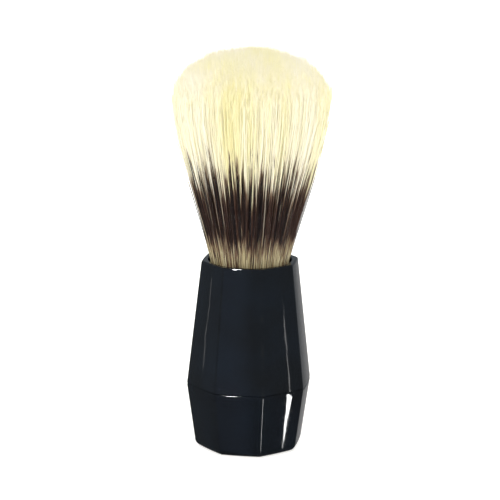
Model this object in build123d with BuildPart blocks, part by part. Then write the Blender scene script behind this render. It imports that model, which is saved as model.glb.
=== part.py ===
from build123d import *
from math import cos, pi, radians, sin
import os

# A free-standing shaving brush, in millimetres. +Z runs up the middle of the brush, from the foot to
# the bristle tips, and the origin is the centre of the foot. The handle is two eight-sided mouldings,
# an upper shell and a base cup, that meet at the widest part. The bristles are one round knot, bonded
# into a socket in the upper moulding.

# Overall sizes
UPPER_HEIGHT = 35.7         # upper moulding, from the waist joint to the mouth
BASE_HEIGHT = 18.8          # base moulding, from the foot to the waist joint
WAIST_RADIUS = 18.15        # to the sharp corners of the eight sides, at the waist
FOOT_RADIUS = 15.4          # to the sharp corners, where the walls would meet the ground
KNOT_RADIUS = 11.4          # bundle of bristles where it leaves the mouth
LOFT = 60.5                 # bristles standing above the mouth
BLOOM_RADIUS = 22.4         # bristles at their widest
BLOOM_HEIGHT = 45.6         # height of the widest part above the mouth

# Shape of the handle
SIDES = 8
SIDE_CROWN = 0.25           # rise of each side's shallow arc, corner to corner
ARRIS_RADIUS = 0.9          # rounding of the eight upright edges
FOOT_ROUND = 1.9            # rounding of the edge it stands on
FOOT_STEPS = 6              # sections that shape that rounding
RIM_ROUND = 0.55            # outer edge of the mouth
BORE_ROUND = 0.25           # inner edge of the mouth
JOINT_ROUND = 0.35          # both edges of the waist joint, which leaves a fine groove
LIP_WALL = 1.05             # thinnest wall of the mouth, at the middle of a side, without the crown
WALL = 2.0                  # walls of both hollow mouldings
BASE_FLOOR = 2.6
FOOT_RECESS_RADIUS = 9.4    # shallow round recess under the foot, which leaves a flat ring
FOOT_RECESS_DEPTH = 0.7
SPIGOT_LENGTH = 4.0         # spigot of the base that stands in the upper moulding
SPIGOT_LEDGE = 3.0          # thick wall below the joint, which carries the spigot
SPIGOT_WALL = 1.6
SPIGOT_CLEARANCE = 0.08

# Socket and knot
SOCKET_DEPTH = 22.0
SOCKET_FLOOR = 2.0
GLUE_GAP = 0.5              # between the knot and the socket
GLUE_BED = 0.6              # adhesive under the knot
PLUG_HEIGHT = 9.0           # cast resin that holds the roots
PLUG_SHOWING = 1.0          # top of the plug above the adhesive
THREAD_DIAMETER = 0.6
THREAD_TURNS = 6
THREAD_CLEARANCE = 0.02
THREAD_LIFT = 1.0           # first turn above the plug

# Curve of the bristles' outline
FLANK_START = 0.29          # spread already reached where the flank's first control point lies
FLANK_RISE = 0.36           # height of that point, as a share of the height of the widest part
FLANK_END = 0.76            # height of the second control point, as the same share
DOME_FULLNESS = 0.6         # 0.55 gives a quarter of an ellipse, more gives a flatter top

# How the knot bends: two balls cut the bristles into zones that can turn in each other
ROOT_SPLIT = 0.17           # share of the flank's length at which the root zone ends
CROWN_SPLIT = 0.60          # share of the flank's length at which the crown begins
CROWN_PIVOT = 20.0          # height above the mouth about which the crown turns
FLEX_GAP = 0.3              # gap between two zones

# Heights and radii that follow
flat_to_corner = 1 / cos(pi / SIDES)
handle_height = BASE_HEIGHT + UPPER_HEIGHT
socket_radius = KNOT_RADIUS + GLUE_GAP
mouth_radius = (socket_radius + LIP_WALL) * flat_to_corner
socket_bottom = handle_height - SOCKET_DEPTH
cavity_top = socket_bottom - SOCKET_FLOOR
plug_bottom = socket_bottom + GLUE_BED
plug_top = plug_bottom + PLUG_HEIGHT
glue_top = plug_top - PLUG_SHOWING
thread_pitch = THREAD_DIAMETER + THREAD_CLEARANCE
thread_start = plug_top + THREAD_LIFT
crown_pivot = handle_height + CROWN_PIVOT


def upper_radius(height):
    """Corner radius of the upper moulding at a height above the ground."""
    share = (height - BASE_HEIGHT) / UPPER_HEIGHT
    return WAIST_RADIUS + (mouth_radius - WAIST_RADIUS) * share


def base_radius(height):
    """Corner radius of the base moulding at a height above the ground."""
    return FOOT_RADIUS + (WAIST_RADIUS - FOOT_RADIUS) * height / BASE_HEIGHT


def section(height, radius, depth=0.0):
    """The handle's section at a height: shallow arcs for sides, rounded corners, all set back by a depth."""
    corner = Vector(radius - depth * flat_to_corner, 0)
    corners = [corner.rotate(Axis.Z, (n + 0.5) * 360 / SIDES) for n in range(SIDES)]
    with BuildSketch(Plane.XY.offset(height)) as outline:
        with BuildLine():
            for start, end in zip(corners, corners[1:] + corners[:1]):
                SagittaArc(start, end, -SIDE_CROWN)
        make_face()
        fillet(outline.vertices(), ARRIS_RADIUS)
    return outline.sketch


# Upper moulding: a tapered shell, solid round the socket and hollow below it
with BuildPart() as handle_upper:
    loft([section(z, upper_radius(z)) for z in (BASE_HEIGHT, handle_height)], ruled=True)
    mouth_face = handle_upper.faces().sort_by(Axis.Z)[-1]
    joint_face = handle_upper.faces().sort_by(Axis.Z)[0]
    fillet(mouth_face.edges(), RIM_ROUND)
    fillet(joint_face.edges(), JOINT_ROUND)
    loft([section(z, upper_radius(z), WALL) for z in (BASE_HEIGHT, cavity_top)],
         ruled=True, mode=Mode.SUBTRACT)
    with BuildSketch(Plane.XY.offset(handle_height)):
        Circle(socket_radius)
    extrude(amount=-SOCKET_DEPTH, mode=Mode.SUBTRACT)
    bore_edge = handle_upper.edges().filter_by(GeomType.CIRCLE).sort_by(Axis.Z)[-1]
    fillet(bore_edge, BORE_ROUND)
handle_upper.part.label = "handle_upper"

# Base moulding: a cup with a rounded foot, a flat ring to stand on and a spigot at the top
foot_angles = [radians(90 * step / FOOT_STEPS) for step in range(FOOT_STEPS + 1)]
foot_levels = [FOOT_ROUND * (1 - cos(angle)) for angle in foot_angles]
foot_depths = [FOOT_ROUND * (1 - sin(angle)) for angle in foot_angles]
ledge = BASE_HEIGHT - SPIGOT_LEDGE
spigot_top = BASE_HEIGHT + SPIGOT_LENGTH
spigot_depth = WALL + SPIGOT_CLEARANCE
with BuildPart() as handle_base:
    loft([section(z, base_radius(z)) for z in (FOOT_ROUND, BASE_HEIGHT)], ruled=True)
    top_face = handle_base.faces().sort_by(Axis.Z)[-1]
    fillet(top_face.edges(), JOINT_ROUND)
    loft([section(z, base_radius(z), depth) for z, depth in zip(foot_levels, foot_depths)])
    loft([section(z, upper_radius(z), spigot_depth) for z in (BASE_HEIGHT, spigot_top)], ruled=True)
    loft([section(z, base_radius(z), WALL) for z in (BASE_FLOOR, ledge)], ruled=True, mode=Mode.SUBTRACT)
    loft([section(z, upper_radius(z), spigot_depth + SPIGOT_WALL) for z in (ledge, spigot_top)],
         ruled=True, mode=Mode.SUBTRACT)
    with BuildSketch():
        Circle(FOOT_RECESS_RADIUS)
    extrude(amount=FOOT_RECESS_DEPTH, mode=Mode.SUBTRACT)
handle_base.part.label = "handle_base"

# Adhesive: a thin cup between the knot and the socket
with BuildPart() as socket_cement:
    with BuildSketch(Plane.XY.offset(socket_bottom)):
        Circle(socket_radius)
    extrude(amount=glue_top - socket_bottom)
    with BuildSketch(Plane.XY.offset(plug_bottom)):
        Circle(KNOT_RADIUS)
    extrude(amount=PLUG_HEIGHT, mode=Mode.SUBTRACT)
socket_cement.part.label = "socket_cement"

# Cast resin that holds the roots
with BuildPart() as root_plug:
    with BuildSketch(Plane.XY.offset(plug_bottom)):
        Circle(KNOT_RADIUS)
    extrude(amount=PLUG_HEIGHT)
root_plug.part.label = "root_plug"

# Thread tied round the bundle: separate turns, side by side
with BuildPart() as binding_thread:
    for turn in range(THREAD_TURNS):
        level = thread_start + (turn + 0.5) * thread_pitch
        with BuildSketch(Plane.XZ):
            with Locations((KNOT_RADIUS - THREAD_DIAMETER / 2, level)):
                Circle(THREAD_DIAMETER / 2)
        revolve(axis=Axis.Z)
binding_thread.part.label = "binding_thread"

# Half the outline of the bristles above the mouth: a flank that spreads to the widest part, and a dome
bloom_level = handle_height + BLOOM_HEIGHT
tip_level = handle_height + LOFT
flank = Bezier(
    (KNOT_RADIUS, handle_height),
    (KNOT_RADIUS + (BLOOM_RADIUS - KNOT_RADIUS) * FLANK_START, handle_height + BLOOM_HEIGHT * FLANK_RISE),
    (BLOOM_RADIUS, handle_height + BLOOM_HEIGHT * FLANK_END),
    (BLOOM_RADIUS, bloom_level),
)
dome = Bezier(
    (BLOOM_RADIUS, bloom_level),
    (BLOOM_RADIUS, bloom_level + (LOFT - BLOOM_HEIGHT) * DOME_FULLNESS),
    (BLOOM_RADIUS * DOME_FULLNESS, tip_level),
    (0, tip_level),
)
with BuildSketch() as head_half:
    with BuildLine():
        add(flank)
        add(dome)
        Polyline((0, tip_level), (0, handle_height), (KNOT_RADIUS, handle_height))
    make_face()
root_ball = (flank @ ROOT_SPLIT - Vector(0, handle_height)).length
crown_ball = (flank @ CROWN_SPLIT - Vector(0, crown_pivot)).length

# Root zone: the bundle in the socket, with a waist under the thread, and the bristles just above it
with BuildPart() as bristle_roots:
    with BuildSketch(Plane.XZ):
        add(head_half.sketch)
        with Locations((0, handle_height)):
            Circle(root_ball, mode=Mode.INTERSECT)
        with Locations((0, plug_top)):
            Rectangle(KNOT_RADIUS, handle_height - plug_top, align=(Align.MIN, Align.MIN))
        with Locations((KNOT_RADIUS, thread_start)):
            Rectangle(THREAD_DIAMETER + THREAD_CLEARANCE, THREAD_TURNS * thread_pitch,
                      align=(Align.MAX, Align.MIN), mode=Mode.SUBTRACT)
    revolve(axis=Axis.Z)
bristle_roots.part.label = "bristle_roots"

# Springy middle zone, which turns about the mouth
with BuildPart() as bristle_mid:
    with BuildSketch(Plane.XZ):
        add(head_half.sketch)
        with Locations((0, handle_height)):
            Circle(root_ball + FLEX_GAP, mode=Mode.SUBTRACT)
        with Locations((0, crown_pivot)):
            Circle(crown_ball, mode=Mode.INTERSECT)
    revolve(axis=Axis.Z)
bristle_mid.part.label = "bristle_mid"

# Crown, which turns about a point inside the middle zone
with BuildPart() as bristle_crown:
    with BuildSketch(Plane.XZ):
        add(head_half.sketch)
        with Locations((0, crown_pivot)):
            Circle(crown_ball + FLEX_GAP, mode=Mode.SUBTRACT)
            # what the ball leaves below its own centre belongs to the root zone
            Rectangle(2 * LOFT, LOFT, align=(Align.CENTER, Align.MIN), mode=Mode.INTERSECT)
    revolve(axis=Axis.Z)
bristle_crown.part.label = "bristle_crown"

print(f"mouth radius {mouth_radius:.2f}, height {handle_height + LOFT:.1f}")
print(f"balls that cut the knot: {root_ball:.2f} and {crown_ball:.2f}")

os.makedirs("parts", exist_ok=True)
pieces = [handle_upper, handle_base, socket_cement, root_plug, binding_thread,
          bristle_roots, bristle_mid, bristle_crown]
for piece in pieces:
    export_step(piece.part, f"parts/{piece.part.label}.step")
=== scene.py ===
from math import cos, radians, sin

import bmesh
import bpy
import numpy as np
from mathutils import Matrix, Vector
from mathutils.kdtree import KDTree


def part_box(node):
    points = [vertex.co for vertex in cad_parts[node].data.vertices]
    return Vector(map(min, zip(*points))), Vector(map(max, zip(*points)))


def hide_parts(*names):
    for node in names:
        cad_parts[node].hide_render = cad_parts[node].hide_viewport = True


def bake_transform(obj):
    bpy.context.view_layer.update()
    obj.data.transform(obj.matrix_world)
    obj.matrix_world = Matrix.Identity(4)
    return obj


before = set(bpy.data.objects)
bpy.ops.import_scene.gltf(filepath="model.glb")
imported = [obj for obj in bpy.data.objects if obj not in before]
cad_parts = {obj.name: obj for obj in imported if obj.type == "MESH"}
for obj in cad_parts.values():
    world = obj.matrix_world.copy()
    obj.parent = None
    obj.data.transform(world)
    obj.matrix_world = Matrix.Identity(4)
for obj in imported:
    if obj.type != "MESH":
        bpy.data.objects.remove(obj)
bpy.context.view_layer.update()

# A shaving brush that stands on its foot, in metres, with +Z up and the front towards -Y.

# BASE MOULDING
# The lower half of the handle is a cup, injection moulded in gloss black ABS with eight shallow sides. Its
# spigot is pushed into the upper moulding and solvent welded, and it stands on a flat ring under the foot.


def linear(code):
    """An sRGB hex colour as linear red, green, blue and alpha."""
    shares = [int(code[n:n + 2], 16) / 255 for n in (1, 3, 5)]
    return [c / 12.92 if c <= 0.04045 else ((c + 0.055) / 1.055) ** 2.4 for c in shares] + [1.0]


def add(tree, kind, settings=None, sockets=None):
    """Adds a node. Its settings are attributes, or stops for a ramp, and its sockets get values or links."""
    node = tree.nodes.new(kind)
    for name, value in (settings or {}).items():
        if name == "stops":
            while len(node.color_ramp.elements) < len(value):
                node.color_ramp.elements.new(1.0)
            for element, (place, code) in zip(node.color_ramp.elements, value):
                element.position = place
                element.color = linear(code)
        else:
            setattr(node, name, value)
    for name, value in (sockets or {}).items():
        if isinstance(value, bpy.types.NodeSocket):
            tree.links.new(value, node.inputs[name])
        else:
            node.inputs[name].default_value = value
    return node


def new_material(name):
    """An empty material with its output node, and its node tree."""
    material = bpy.data.materials.new(name)
    material.use_nodes = True
    material.node_tree.nodes.clear()
    return material, material.node_tree


def wear(node_name, material):
    """Gives a carried-over part of the frame its finish."""
    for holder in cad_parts[node_name].material_slots:
        holder.material = material


# Gloss black ABS, straight from a polished mould: a dark mirror with a breath of blue, slightly wavy where
# the wall shrank, with soap film that dulls it in patches, fine rubbed marks, and eight edges worn greyer.
gloss_black_abs, tree = new_material("gloss_black_abs")
place = add(tree, "ShaderNodeTexCoord").outputs["Object"]
axes = add(tree, "ShaderNodeSeparateXYZ", sockets={0: place})
angle = add(tree, "ShaderNodeMath", {"operation": "ARCTAN2"}, {0: axes.outputs["Y"], 1: axes.outputs["X"]})
side = add(tree, "ShaderNodeMath", {"operation": "MULTIPLY"}, {0: angle.outputs[0], 1: 8 / radians(360)})
across = add(tree, "ShaderNodeMath", {"operation": "FRACT"}, {0: side.outputs[0]})
from_edge = add(tree, "ShaderNodeMath", {"operation": "SUBTRACT"}, {0: across.outputs[0], 1: 0.5})
near_edge = add(tree, "ShaderNodeMath", {"operation": "ABSOLUTE"}, {0: from_edge.outputs[0]})
# one side is about 13 mm wide, so 0.05 of it is a 0.65 mm band each side of the edge
edge_band = add(tree, "ShaderNodeMapRange", {"interpolation_type": "SMOOTHSTEP"},
                {"Value": near_edge.outputs[0], "From Min": 0.05, "From Max": 0.012})
rub = add(tree, "ShaderNodeTexNoise", sockets={"Vector": place, "Scale": 1 / 0.0035, "Detail": 4.0})
rubbed = add(tree, "ShaderNodeMapRange",
             sockets={"Value": rub.outputs["Fac"], "From Min": 0.45, "From Max": 0.7})
worn = add(tree, "ShaderNodeMath", {"operation": "MULTIPLY"},
           {0: edge_band.outputs[0], 1: rubbed.outputs[0]})
film = add(tree, "ShaderNodeTexNoise", sockets={"Vector": place, "Scale": 1 / 0.014, "Detail": 3.0})
# hairline marks from wiping, stretched along the handle and drawn 0.3 mm wide, so that they show
grain = add(tree, "ShaderNodeMapping", sockets={"Vector": place, "Scale": (1.0, 1.0, 0.12)})
wiped = add(tree, "ShaderNodeTexNoise",
            sockets={"Vector": grain.outputs[0], "Scale": 1 / 0.0006, "Detail": 2.0})
dull = add(tree, "ShaderNodeMapRange",
           sockets={"Value": film.outputs["Fac"], "From Min": 0.35, "From Max": 0.75,
                    "To Min": 0.02, "To Max": 0.05})
marked = add(tree, "ShaderNodeMapRange",
             sockets={"Value": wiped.outputs["Fac"], "From Min": 0.6, "From Max": 0.8, "To Max": 0.03})
patchy = add(tree, "ShaderNodeMath", {"operation": "ADD"}, {0: dull.outputs[0], 1: marked.outputs[0]})
rough = add(tree, "ShaderNodeMath", {"operation": "MULTIPLY_ADD"},
            {0: worn.outputs[0], 1: 0.06, 2: patchy.outputs[0]})
depth = add(tree, "ShaderNodeValToRGB", {"stops": [(0.3, "#090A0C"), (0.75, "#0C1118")]},
            {"Fac": film.outputs["Fac"]})
greyed = add(tree, "ShaderNodeMix", {"data_type": "RGBA"},
             {"Factor": worn.outputs[0], 6: depth.outputs["Color"], 7: linear("#121417")})
# sink marks: the wall wanders by a few microns over 9 mm
sink = add(tree, "ShaderNodeTexNoise", sockets={"Vector": place, "Scale": 1 / 0.009, "Detail": 1.5})
wavy = add(tree, "ShaderNodeBump", sockets={"Height": sink.outputs["Fac"], "Strength": 1.0,
                                            "Distance": 0.00004})
plastic = add(tree, "ShaderNodeBsdfPrincipled",
              sockets={"Base Color": greyed.outputs[2], "Roughness": rough.outputs[0], "IOR": 1.54,
                       "Normal": wavy.outputs[0]})
add(tree, "ShaderNodeOutputMaterial", sockets={"Surface": plastic.outputs[0]})
wear("handle_base", gloss_black_abs)

# UPPER MOULDING
# The taller, tapered half of the handle is the same gloss black ABS, moulded in one shot as a shell with the
# round socket for the knot in its top. Both halves come out of the same grade of plastic and mould polish.
wear("handle_upper", gloss_black_abs)

# SOCKET CEMENT
# Two-part epoxy fills the gap between the knot and its socket. It is poured in before the knot is pushed
# down, so it sets as a thin cup with trapped air bubbles and a slightly uneven top.
cast_epoxy, tree = new_material("cast_epoxy")
place = add(tree, "ShaderNodeTexCoord").outputs["Object"]
cloud = add(tree, "ShaderNodeTexNoise", sockets={"Vector": place, "Scale": 1 / 0.005, "Detail": 3.0})
bubbles = add(tree, "ShaderNodeTexVoronoi", sockets={"Vector": place, "Scale": 1 / 0.0012})
amber = add(tree, "ShaderNodeValToRGB", {"stops": [(0.3, "#B79A63"), (0.7, "#CDB68A")]},
            {"Fac": cloud.outputs["Fac"]})
pits = add(tree, "ShaderNodeMapRange",
           sockets={"Value": bubbles.outputs["Distance"], "From Min": 0.1, "From Max": 0.3})
pitted = add(tree, "ShaderNodeBump", sockets={"Height": pits.outputs[0], "Distance": 0.0001})
resin = add(tree, "ShaderNodeBsdfPrincipled",
            sockets={"Base Color": amber.outputs["Color"], "Roughness": 0.28, "IOR": 1.55,
                     "Normal": pitted.outputs[0]})
add(tree, "ShaderNodeOutputMaterial", sockets={"Surface": resin.outputs[0]})
wear("socket_cement", cast_epoxy)

# ROOT PLUG
# The cut ends of the bristles are dipped in liquid resin, which soaks up between them and sets as a hard
# disc. The bristle ends show in it as fine pale dots.
bristle_resin, tree = new_material("resin_with_bristle_ends")
place = add(tree, "ShaderNodeTexCoord").outputs["Object"]
flat = add(tree, "ShaderNodeMapping", sockets={"Vector": place, "Scale": (1.0, 1.0, 0.02)})
ends = add(tree, "ShaderNodeTexVoronoi", sockets={"Vector": flat.outputs[0], "Scale": 1 / 0.0004})
dots = add(tree, "ShaderNodeValToRGB", {"stops": [(0.2, "#C9B78F"), (0.55, "#6E4E2A")]},
           {"Fac": ends.outputs["Distance"]})
combed = add(tree, "ShaderNodeBump", sockets={"Height": ends.outputs["Distance"], "Distance": 0.00005})
plug_resin = add(tree, "ShaderNodeBsdfPrincipled",
                 sockets={"Base Color": dots.outputs["Color"], "Roughness": 0.35, "IOR": 1.55,
                          "Normal": combed.outputs[0]})
add(tree, "ShaderNodeOutputMaterial", sockets={"Surface": plug_resin.outputs[0]})
wear("root_plug", bristle_resin)

# BINDING THREAD
# Waxed cotton thread is wound six times round the roots above the plug and pulled tight, which gathers the
# bundle to a round before it is glued. Its two plies show as slanting ridges, with painted shade in the
# grooves between them.
waxed_cotton, tree = new_material("waxed_cotton_thread")
place = add(tree, "ShaderNodeTexCoord").outputs["Object"]
axes = add(tree, "ShaderNodeSeparateXYZ", sockets={0: place})
angle = add(tree, "ShaderNodeMath", {"operation": "ARCTAN2"}, {0: axes.outputs["Y"], 1: axes.outputs["X"]})
# a ply crosses the thread every 0.7 mm along a turn of 11 mm radius, and leans by about its own width
turned = add(tree, "ShaderNodeMath", {"operation": "MULTIPLY"}, {0: angle.outputs[0], 1: 11.0 / 0.7})
leaned = add(tree, "ShaderNodeMath", {"operation": "MULTIPLY_ADD"},
             {0: axes.outputs["Z"], 1: 1 / 0.0009, 2: turned.outputs[0]})
ply = add(tree, "ShaderNodeMath", {"operation": "PINGPONG"}, {0: leaned.outputs[0], 1: 0.5})
lint = add(tree, "ShaderNodeTexNoise", sockets={"Vector": place, "Scale": 1 / 0.0003, "Detail": 3.0})
# painted shade: the thread's colour is darker where the ply ridges are low, in the grooves between the plies
cotton_with_groove_shade = add(tree, "ShaderNodeValToRGB", {"stops": [(0.0, "#8F8467"), (1.0, "#D9CFB4")]},
             {"Fac": ply.outputs[0]})
tinted = add(tree, "ShaderNodeMix", {"data_type": "RGBA", "blend_type": "MULTIPLY"},
             {"Factor": 0.3, 6: cotton_with_groove_shade.outputs["Color"], 7: lint.outputs["Color"]})
ridged = add(tree, "ShaderNodeBump", sockets={"Height": ply.outputs[0], "Distance": 0.00012})
thread = add(tree, "ShaderNodeBsdfPrincipled",
             sockets={"Base Color": tinted.outputs[2], "Roughness": 0.6, "Normal": ridged.outputs[0]})
add(tree, "ShaderNodeOutputMaterial", sockets={"Surface": thread.outputs[0]})
wear("binding_thread", waxed_cotton)

# BRISTLES, HOW THEY LIE
# One knot of bleached hog bristle. The bristles are gathered at the roots, spread from the mouth of the
# handle, and are left uncut at the tips, where each one is split and leans against its neighbours in a tuft.
BRISTLES = 13500
TUFTS = 900
MM = 0.001
plug_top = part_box("root_plug")[1].z
thread_low, thread_high = (corner.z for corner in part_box("binding_thread"))
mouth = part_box("handle_upper")[1].z
tip_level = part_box("bristle_crown")[1].z
knot_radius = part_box("root_plug")[1].x
bloom_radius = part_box("bristle_crown")[1].x
FLANK_LENGTH = 45.6 * MM          # an outermost bristle, above the mouth
SEAM = mouth + 16 * MM            # where the lower and the upper run of a bristle meet
LAP = 0.5 * MM                    # how far each run reaches past the seam into the other
DOME_POWER = 2.15                 # 2 would be a true ellipse, and more is fuller at the shoulder
CURL = 0.035                      # how much of its spread a bristle loses again at its very tip
OUTSIDE = 0.8                     # share of the radius past which a bristle is seen from the side
BRISTLE_RADIUS = 0.095            # mm, at the roots
HAIR_RADIUS = 0.05                # mm, of the finer hairs that a bristle splits into

chance = np.random.default_rng(11)


def sunflower(count):
    """Points spread evenly over a disc of radius 1, as a sunflower's seeds are."""
    seed = np.arange(count)
    reach = np.sqrt((seed + 0.5) / count)
    turn = seed * radians(137.508)
    return np.c_[reach * np.cos(turn), reach * np.sin(turn)]


def scatter(points, size):
    """Moves points of the disc by a small random step, and keeps them on it."""
    moved = points + chance.normal(0, size, points.shape)
    far = np.maximum(np.linalg.norm(moved, axis=1), 1.0)
    return moved / far[:, None]


foot = scatter(sunflower(BRISTLES), 0.006) * 0.98
tuft_foot = scatter(sunflower(TUFTS), 0.012)
near = KDTree(TUFTS)
for number, point in enumerate(tuft_foot):
    near.insert((*point, 0.0), number)
near.balance()
tuft = np.array([near.find((*point, 0.0))[1] for point in foot])

outwards = np.linalg.norm(foot, axis=1)
dome_rise = tip_level - mouth - FLANK_LENGTH
dome = dome_rise * (1 - np.minimum(outwards, 1) ** DOME_POWER) ** (1 / DOME_POWER)
length = FLANK_LENGTH + dome
length = length + chance.normal(0, 0.45 * MM, TUFTS)[tuft]
length = length - np.abs(chance.normal(0, 1.0 * MM, BRISTLES))
pull = chance.uniform(0.05, 0.3, TUFTS)[tuft]
lean = chance.normal(0, 0.3 * MM, (TUFTS, 2))[tuft] + chance.normal(0, 0.65 * MM, (BRISTLES, 2))
bow = chance.normal(0, 0.45 * MM, (BRISTLES, 2))
stray = chance.random(BRISTLES) < 0.012
lean[stray] *= 2.5
length[stray] += chance.uniform(0, 1.2 * MM, stray.sum())

# the outline of the knot: how far it spreads and how high it is along its flank
along = np.linspace(0, 1, 200)
flank_rise = 3 * along * (1 - along) ** 2 * 0.36 + 3 * along ** 2 * (1 - along) * 0.76 + along ** 3
spread_share = 3 * along * (1 - along) ** 2 * 0.29 + 3 * along ** 2 * (1 - along) + along ** 3


def route(which, rise):
    """Where bristles run: which ones, and each one's heights as shares of its length above the mouth."""
    height = mouth + length[which, None] * rise
    above = np.clip(rise, 0, 1)
    spread = knot_radius + (bloom_radius - knot_radius) * np.interp(above, flank_rise, spread_share)
    # the last fifth of a bristle curls back in
    spread = spread * (1 - CURL * (np.clip(above - 0.8, 0, 0.2) / 0.2) ** 2)
    neck = np.interp(height, [plug_top, thread_low, thread_high, mouth], [0.95, 0.925, 0.925, 1.0])
    gathered = (pull[which, None] * above ** 1.5)[..., None]
    at = foot[which][:, None] * (1 - gathered) + tuft_foot[tuft[which]][:, None] * gathered
    bend = np.sin(radians(180) * above)
    flat = (at * (spread * neck)[..., None] + lean[which][:, None] * above[..., None] ** 2
            + bow[which][:, None] * bend[..., None])
    return np.concatenate([flat, height[..., None]], axis=2)


# BRISTLES, HOW THEY ARE COLOURED
# Hog bristle, bleached to a warm cream and then dyed near black in a band, in imitation of badger hair. The
# dye creeps a different way along each bristle, so the band's edges are ragged, and the roots stay tan.
# A bristle's map holds its place in the dye lot across, and the height along it upwards.
LOTS = 256
MAP_LOW = -13.0                   # mm from the mouth, at the map's lower edge
MAP_TALL = 76.0                   # mm, the map's height
SHIFT_FULL = 18.0                 # mm from the mouth, where a bristle's own shift of the band is in full

bleached_bristle, tree = new_material("bleached_hog_bristle")
bristle_map = add(tree, "ShaderNodeUVMap", {"uv_map": "OFBake"})
axes = add(tree, "ShaderNodeSeparateXYZ", sockets={0: bristle_map.outputs[0]})
counted = add(tree, "ShaderNodeMath", {"operation": "MULTIPLY"}, {0: axes.outputs["X"], 1: float(LOTS)})
lot = add(tree, "ShaderNodeMath", {"operation": "FLOOR"}, {0: counted.outputs[0]})
level = add(tree, "ShaderNodeMath", {"operation": "MULTIPLY_ADD"},
            {0: axes.outputs["Y"], 1: MAP_TALL, 2: MAP_LOW})
luck = add(tree, "ShaderNodeTexWhiteNoise", {"noise_dimensions": "1D"}, {"W": lot.outputs[0]})
draw = add(tree, "ShaderNodeSeparateColor", sockets={0: luck.outputs["Color"]})
# the dye is patchy over 8 mm of a bristle's length
spot = add(tree, "ShaderNodeCombineXYZ", sockets={"X": lot.outputs[0], "Y": level.outputs[0]})
patch = add(tree, "ShaderNodeTexNoise", {"noise_dimensions": "2D"},
            {"Vector": spot.outputs[0], "Scale": 1 / 8, "Detail": 2.0})
creep = add(tree, "ShaderNodeMath", {"operation": "MULTIPLY_ADD"},
            {0: patch.outputs["Fac"], 1: 9.0, 2: level.outputs[0]})
top_edge = add(tree, "ShaderNodeMapRange",
               sockets={"Value": draw.outputs["Red"], "To Min": 23.0, "To Max": 34.5})
over_top = add(tree, "ShaderNodeMath", {"operation": "SUBTRACT"},
               {0: creep.outputs[0], 1: top_edge.outputs[0]})
bare = add(tree, "ShaderNodeMapRange", {"interpolation_type": "SMOOTHSTEP"},
           {"Value": over_top.outputs[0], "From Min": -3.0, "From Max": 5.0, "To Min": 1.0, "To Max": 0.0})
low_edge = add(tree, "ShaderNodeMapRange",
               sockets={"Value": draw.outputs["Green"], "To Min": 7.0, "To Max": 11.5})
over_low = add(tree, "ShaderNodeMath", {"operation": "SUBTRACT"},
               {0: creep.outputs[0], 1: low_edge.outputs[0]})
soaked = add(tree, "ShaderNodeMapRange", {"interpolation_type": "SMOOTHSTEP"},
             {"Value": over_low.outputs[0], "From Min": -1.5, "From Max": 2.0})
missed = add(tree, "ShaderNodeMapRange",
             sockets={"Value": draw.outputs["Blue"], "From Min": 0.01, "From Max": 0.04, "To Min": 0.3})
band = add(tree, "ShaderNodeMath", {"operation": "MULTIPLY"}, {0: bare.outputs[0], 1: soaked.outputs[0]})
dyed = add(tree, "ShaderNodeMath", {"operation": "MULTIPLY"}, {0: band.outputs[0], 1: missed.outputs[0]})
cream = add(tree, "ShaderNodeValToRGB",
            {"stops": [(0.0, "#FDFBEE"), (0.35, "#FBF6DE"), (0.65, "#F9F5CC"), (1.0, "#F3EAB6")]},
            {"Fac": axes.outputs["X"]})
root_tan = add(tree, "ShaderNodeValToRGB",
               {"stops": [(0.0, "#CFC7A4"), (0.45, "#A89A74"), (0.7, "#6A5240"), (1.0, "#3D2D27")]},
               {"Fac": draw.outputs["Blue"]})
dark = add(tree, "ShaderNodeValToRGB",
           {"stops": [(0.0, "#4A3026"), (0.35, "#33251F"), (0.7, "#231B1B"), (1.0, "#1A1416")]},
           {"Fac": draw.outputs["Red"]})
grown = add(tree, "ShaderNodeMapRange", {"interpolation_type": "SMOOTHSTEP"},
            {"Value": level.outputs[0], "From Min": 4.0, "From Max": 16.0})
undyed = add(tree, "ShaderNodeMix", {"data_type": "RGBA"},
             {"Factor": grown.outputs[0], 6: root_tan.outputs["Color"], 7: cream.outputs["Color"]})
# where the dye thins out it leaves a brown stain
thin_dye = add(tree, "ShaderNodeMath", {"operation": "MULTIPLY", "use_clamp": True},
               {0: dyed.outputs[0], 1: 1.7})
stained = add(tree, "ShaderNodeMix", {"data_type": "RGBA"},
              {"Factor": thin_dye.outputs[0], 6: undyed.outputs[2], 7: linear("#94785F")})
thick_dye = add(tree, "ShaderNodeMath", {"operation": "POWER"}, {0: dyed.outputs[0], 1: 2.0})
tinted = add(tree, "ShaderNodeMix", {"data_type": "RGBA"},
             {"Factor": thick_dye.outputs[0], 6: stained.outputs[2], 7: dark.outputs["Color"]})
bristle = add(tree, "ShaderNodeBsdfPrincipled",
              sockets={"Base Color": tinted.outputs[2], "Roughness": 0.42, "IOR": 1.55})
add(tree, "ShaderNodeOutputMaterial", sockets={"Surface": bristle.outputs[0]})

# neighbouring tufts share their tone in drifts some 8 mm wide, and each tuft's band sits a little up or down
drift = np.sin(5.1 * tuft_foot[:, 0] + 1.3) + np.sin(4.3 * tuft_foot[:, 1] + 7.9 * tuft_foot[:, 0])
tone = np.clip(0.45 + 0.11 * drift + chance.normal(0, 0.1, TUFTS), 0.1, 0.9)[tuft]
lot_number = ((tone + chance.uniform(-0.1, 0.1, BRISTLES)) * LOTS).astype(int)
band_shift = chance.normal(0, 1.4, TUFTS)[tuft] + chance.normal(0, 2.0, BRISTLES)


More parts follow.
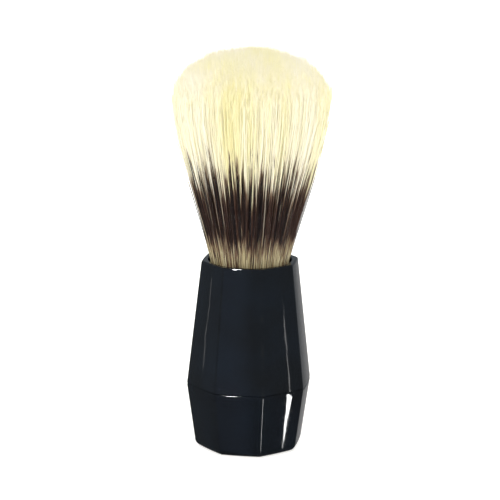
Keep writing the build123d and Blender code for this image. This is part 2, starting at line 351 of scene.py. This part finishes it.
def bundle(name, routes, widths, lots, shifts):
    """One mesh of four-sided tubes, from their points, radii in mm, dye lots and shifts of the band."""
    line = bpy.data.curves.new(name, "CURVE")
    line.dimensions = "3D"
    line.bevel_depth = MM
    line.bevel_resolution = 0
    for points, radii in zip(routes, widths):
        spline = line.splines.new("POLY")
        spline.points.add(len(points) - 1)
        spline.points.foreach_set("co", np.c_[points, np.ones(len(points))].ravel())
        spline.points.foreach_set("radius", radii)
    guide = bpy.data.objects.new(name, line)
    bpy.context.scene.collection.objects.link(guide)
    mesh = bpy.data.meshes.new_from_object(guide)
    bpy.data.objects.remove(guide)
    bpy.data.curves.remove(line)
    # four corners to each point of a bristle, in turn on the left and the right of its lot in the map
    counts = [len(points) for points in routes]
    up = (np.concatenate(routes)[:, 2] - mouth) / MM
    up = up - np.repeat(shifts, counts) * np.clip(up / SHIFT_FULL, 0, 1)
    tall = np.repeat((up - MAP_LOW) / MAP_TALL, 4)
    left = np.repeat(lots, counts)[:, None]
    wide = ((left + np.array([0.15, 0.85, 0.15, 0.85])) / LOTS).ravel()
    corner = np.zeros(len(mesh.loops), int)
    mesh.loops.foreach_get("vertex_index", corner)
    mesh.uv_layers[0].name = "OFBake"
    mesh.uv_layers[0].uv.foreach_set("vector", np.c_[wide[corner], tall[corner]].astype(np.float32).ravel())
    # the ends run to a point, where the four corners are merged
    starts = np.cumsum([0] + counts[:-1])
    lasts = np.cumsum(counts) - 1
    bm = bmesh.new()
    bm.from_mesh(mesh)
    bm.verts.ensure_lookup_table()
    tips = [bm.verts[4 * end + n] for end in np.concatenate([starts, lasts]) for n in range(4)]
    bmesh.ops.remove_doubles(bm, verts=tips, dist=0.001 * MM)
    bm.to_mesh(mesh)
    bm.free()
    mesh.materials.clear()
    mesh.materials.append(bleached_bristle)
    piece = bpy.data.objects.new(name, mesh)
    bpy.context.scene.collection.objects.link(piece)
    return piece


def sector(part, parts):
    """The bristles in one of so many equal sectors of the knot, those on its outside first, and the rest."""
    turn = np.arctan2(foot[:, 1], foot[:, 0]) / radians(360) % 1
    here = (turn * parts).astype(int) == part
    return np.flatnonzero(here & (outwards > OUTSIDE)), np.flatnonzero(here & (outwards <= OUTSIDE))


# BRISTLES, LOWER RUN
# From the resin plug, through the binding thread and the mouth of the handle, to a little above it. The roots
# are held, and the bristles start to bend where they leave the mouth.
for part in range(3):
    routes, widths, numbers = [], [], []
    outer, inner = sector(part, 3)
    for which, levels in ((outer, [plug_top, plug_top + 3 * MM, mouth - 5 * MM, mouth, mouth + 5.5 * MM,
                                   mouth + 11 * MM, SEAM - 0.1 * MM, SEAM + LAP]),
                          (inner, [plug_top, mouth, SEAM - 0.1 * MM, SEAM + LAP])):
        rise = (np.array(levels)[None] - mouth) / length[which, None]
        routes += list(route(which, rise))
        widths += [[0.0] + [BRISTLE_RADIUS] * (len(levels) - 2) + [0.0]] * len(which)
        numbers += list(which)
    lower = bundle(f"bristles_lower_{part + 1}", routes, widths, lot_number[numbers], band_shift[numbers])
    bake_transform(lower)
    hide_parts("bristle_roots")

# BRISTLES, UPPER RUN
# The springy length and the flagged tips. Each bristle splits near its end into finer hairs, which is what
# makes a hog bristle brush soft and gives the crown its cloudy edge.
for part in range(6):
    routes, widths, numbers = [], [], []
    outer, inner = sector(part, 6)
    for which, steps in ((outer, [0.2, 0.4, 0.6, 0.78, 0.9, 1.0]), (inner, [0.35, 0.65, 0.88, 1.0])):
        seam_rise = (SEAM - mouth) / length[which, None]
        rise = seam_rise + (1 - seam_rise) * np.array(steps)[None]
        start = seam_rise - LAP / length[which, None]
        middle = route(which, np.concatenate([start, seam_rise, rise], axis=1))
        routes += list(middle)
        thin = np.interp(steps, [0, 0.6, 0.9, 1.0], [BRISTLE_RADIUS, 0.12, 0.08, 0.0])
        widths += [[0.0, BRISTLE_RADIUS] + list(thin)] * len(which)
        numbers += list(which)
        # finer hairs leave each bristle a little before its end, and the outside ones lower down too
        forks = [(rise[:, -2:-1] - 0.04, 1.0)]
        if which is outer:
            fork = chance.uniform(0.45, 0.75, (len(which), 1))
            forks.append((fork, fork + 0.2))
        for fork, end in forks:
            end = np.broadcast_to(end, fork.shape)
            hair = route(which, np.concatenate([fork, fork + 0.03, (fork + end) / 2, end], axis=1))
            splay = chance.normal(0, 0.55 * MM, (len(which), 3))
            hair[:, 2] += splay * 0.5
            hair[:, 3] += splay
            routes += list(hair)
            widths += [[0.0, HAIR_RADIUS, HAIR_RADIUS, 0.0]] * len(which)
            numbers += list(which)
    upper = bundle(f"bristles_upper_{part + 1}", routes, widths, lot_number[numbers], band_shift[numbers])
    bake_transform(upper)
    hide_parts("bristle_mid", "bristle_crown")

# FLOOR
# A plain white sweep of studio card, seen only as a floor, so that the gloss handle mirrors the room.
card, tree = new_material("white_studio_card")
place = add(tree, "ShaderNodeTexCoord").outputs["Object"]
tooth = add(tree, "ShaderNodeTexNoise", sockets={"Vector": place, "Scale": 1 / 0.002, "Detail": 2.0})
white = add(tree, "ShaderNodeValToRGB", {"stops": [(0.0, "#F1F1F0"), (1.0, "#F8F8F7")]},
            {"Fac": tooth.outputs["Fac"]})
matt = add(tree, "ShaderNodeBsdfPrincipled",
           sockets={"Base Color": white.outputs["Color"], "Roughness": 0.9,
                    "Emission Color": linear("#FFFFFF"), "Emission Strength": 0.45})
add(tree, "ShaderNodeOutputMaterial", sockets={"Surface": matt.outputs[0]})
sweep = bmesh.new()
bmesh.ops.create_circle(sweep, cap_ends=True, segments=96, radius=6.0)
floor_mesh = bpy.data.meshes.new("floor")
sweep.to_mesh(floor_mesh)
sweep.free()
floor_mesh.materials.append(card)
floor = bpy.data.objects.new("floor", floor_mesh)
bpy.context.scene.collection.objects.link(floor)
floor.visible_glossy = False

# CAMERA
# A long lens at about arm's length, a little above the brush and a little round to its right.
AIM = Vector((0, 0, 0.0570))
DISTANCE = 0.590
turn, tilt = radians(9.5), radians(12.75)
lens = bpy.data.cameras.new("camera")
lens.lens = 150
lens.sensor_width = 36
lens.clip_end = 20
camera = bpy.data.objects.new("camera", lens)
back = Vector((sin(turn) * cos(tilt), -cos(turn) * cos(tilt), sin(tilt)))
camera.location = AIM + back * DISTANCE
aim = (-back).to_track_quat("-Z", "Y").to_matrix().to_4x4()
camera.rotation_euler = aim.to_euler()
camera.rotation_euler.rotate_axis("Z", radians(0.5))
bpy.context.scene.collection.objects.link(camera)
bpy.context.scene.camera = camera

# LIGHT
# A soft white room all round, which the gloss mirrors as a dim one with a blue glow at the front left and a
# brighter wall behind. Two broad lamps light it from the front, and small glowing sheets show only in gloss.
studio = bpy.data.worlds.new("studio")
bpy.context.scene.world = studio
studio.use_nodes = True
tree = studio.node_tree
tree.nodes.clear()
bearing = add(tree, "ShaderNodeTexCoord").outputs["Generated"]
axes = add(tree, "ShaderNodeSeparateXYZ", sockets={0: bearing})
round_about = add(tree, "ShaderNodeMath", {"operation": "ARCTAN2"},
                  {0: axes.outputs["Y"], 1: axes.outputs["X"]})


def glow(azimuth, reach, strength):
    """An upright glow with soft sides: its bearing from the front and half its width in degrees."""
    off = add(studio.node_tree, "ShaderNodeMath", {"operation": "ADD"},
              {0: round_about.outputs[0], 1: radians(90 - azimuth)})
    facing = add(studio.node_tree, "ShaderNodeMath", {"operation": "COSINE"}, {0: off.outputs[0]})
    lit = add(studio.node_tree, "ShaderNodeMapRange", {"interpolation_type": "SMOOTHSTEP"},
              {"Value": facing.outputs[0], "From Min": cos(radians(reach)), "From Max": 1.0,
               "To Max": strength})
    return lit.outputs[0]


dim = add(tree, "ShaderNodeMapRange", {"interpolation_type": "SMOOTHSTEP"},
          {"Value": axes.outputs["Z"], "From Min": -0.8, "From Max": 0.2, "To Min": 0.08, "To Max": 0.22})
back_wall = add(tree, "ShaderNodeMapRange", {"interpolation_type": "SMOOTHSTEP"},
                {"Value": axes.outputs["Z"], "From Min": -0.05, "From Max": 0.15,
                 "To Min": 0.24, "To Max": 0.05})
brighter = add(tree, "ShaderNodeMath", {"operation": "MULTIPLY"},
               {0: back_wall.outputs[0], 1: glow(180, 26, 1.0)})
room = add(tree, "ShaderNodeBackground", sockets={"Color": linear("#E6F4FF"), "Strength": dim.outputs[0]})
walls = add(tree, "ShaderNodeBackground",
            sockets={"Color": linear("#FFF6F0"), "Strength": brighter.outputs[0]})
window = add(tree, "ShaderNodeBackground",
             sockets={"Color": linear("#B4CEFF"), "Strength": glow(-15, 12, 0.16)})
doorway = add(tree, "ShaderNodeBackground",
              sockets={"Color": linear("#B4CEFF"), "Strength": glow(-90, 9, 0.05)})
sides = add(tree, "ShaderNodeAddShader", sockets={0: window.outputs[0], 1: doorway.outputs[0]})
around = add(tree, "ShaderNodeAddShader", sockets={0: walls.outputs[0], 1: room.outputs[0]})
mirrored = add(tree, "ShaderNodeAddShader", sockets={0: around.outputs[0], 1: sides.outputs[0]})
soft = add(tree, "ShaderNodeBackground", sockets={"Color": linear("#FFFFFF"), "Strength": 0.66})
plain = add(tree, "ShaderNodeBackground", sockets={"Color": linear("#FFFFFF")})
seen = add(tree, "ShaderNodeLightPath")
lighting = add(tree, "ShaderNodeMixShader",
               sockets={0: seen.outputs["Is Glossy Ray"], 1: soft.outputs[0], 2: mirrored.outputs[0]})
backdrop = add(tree, "ShaderNodeMixShader",
               sockets={0: seen.outputs["Is Camera Ray"], 1: lighting.outputs[0], 2: plain.outputs[0]})
add(tree, "ShaderNodeOutputWorld", sockets={"Surface": backdrop.outputs[0]})


def lamp(name, energy, spread, azimuth, elevation):
    """A lamp far off that gloss doesn't show: its spread, bearing from the front and height in degrees."""
    light = bpy.data.lights.new(name, "SUN")
    light.energy = energy
    light.angle = radians(spread)
    light.color = linear("#FFFBF2")[:3]
    holder = bpy.data.objects.new(name, light)
    a, e = radians(azimuth), radians(elevation)
    towards = Vector((sin(a) * cos(e), -cos(a) * cos(e), sin(e)))
    holder.rotation_euler = towards.to_track_quat("Z", "Y").to_euler()
    holder.visible_glossy = False
    bpy.context.scene.collection.objects.link(holder)
    return light


lamp("key", 0.8, 60, -14, 52)
# bristle lets light through, so a lamp with no shadows fills the gaps between the hairs
lamp("fill", 1.6, 60, 12, 46).use_shadow = False


def glint(name, azimuth, top, bottom, wide_top, wide_bottom, strength):
    """A glowing sheet 1 m away that only gloss shows: bearing, two elevations and two widths in degrees."""
    shining, tree = new_material(name)
    shine = add(tree, "ShaderNodeEmission", sockets={"Strength": strength})
    add(tree, "ShaderNodeOutputMaterial", sockets={"Surface": shine.outputs[0]})
    shining.cycles.emission_sampling = "NONE"
    corners = []
    for elevation, width in ((top, wide_top), (bottom, wide_bottom)):
        for bearing in (azimuth - width / 2, azimuth + width / 2):
            a, e = radians(bearing), radians(elevation)
            corners.append((sin(a) * cos(e), -cos(a) * cos(e), sin(e) + 0.03))
    sheet = bmesh.new()
    sheet.faces.new([sheet.verts.new(corners[n]) for n in (0, 1, 3, 2)])
    mesh = bpy.data.meshes.new(name)
    sheet.to_mesh(mesh)
    sheet.free()
    mesh.materials.append(shining)
    piece = bpy.data.objects.new(name, mesh)
    bpy.context.scene.collection.objects.link(piece)
    piece.visible_camera = False
    piece.visible_diffuse = False
    piece.visible_shadow = False
    piece.visible_transmission = False


glint("key_glint", -17, 52, 38, 2, 2, 400.0)
glint("right_glint", 87.5, -28.8, -30.8, 2.4, 0.4, 30.0)
glint("right_glint_low", 87.4, -30.6, -31.5, 0.35, 0.35, 10.0)
glint("right_thread", 82.2, -4, -8, 0.5, 0.5, 3.0)
glint("left_thread", -97, -5, -9, 0.4, 0.4, 1.3)
glint("front_glint", 35, -24, -38, 3, 3, 45.0)

bpy.context.scene.view_settings.view_transform = "Standard"
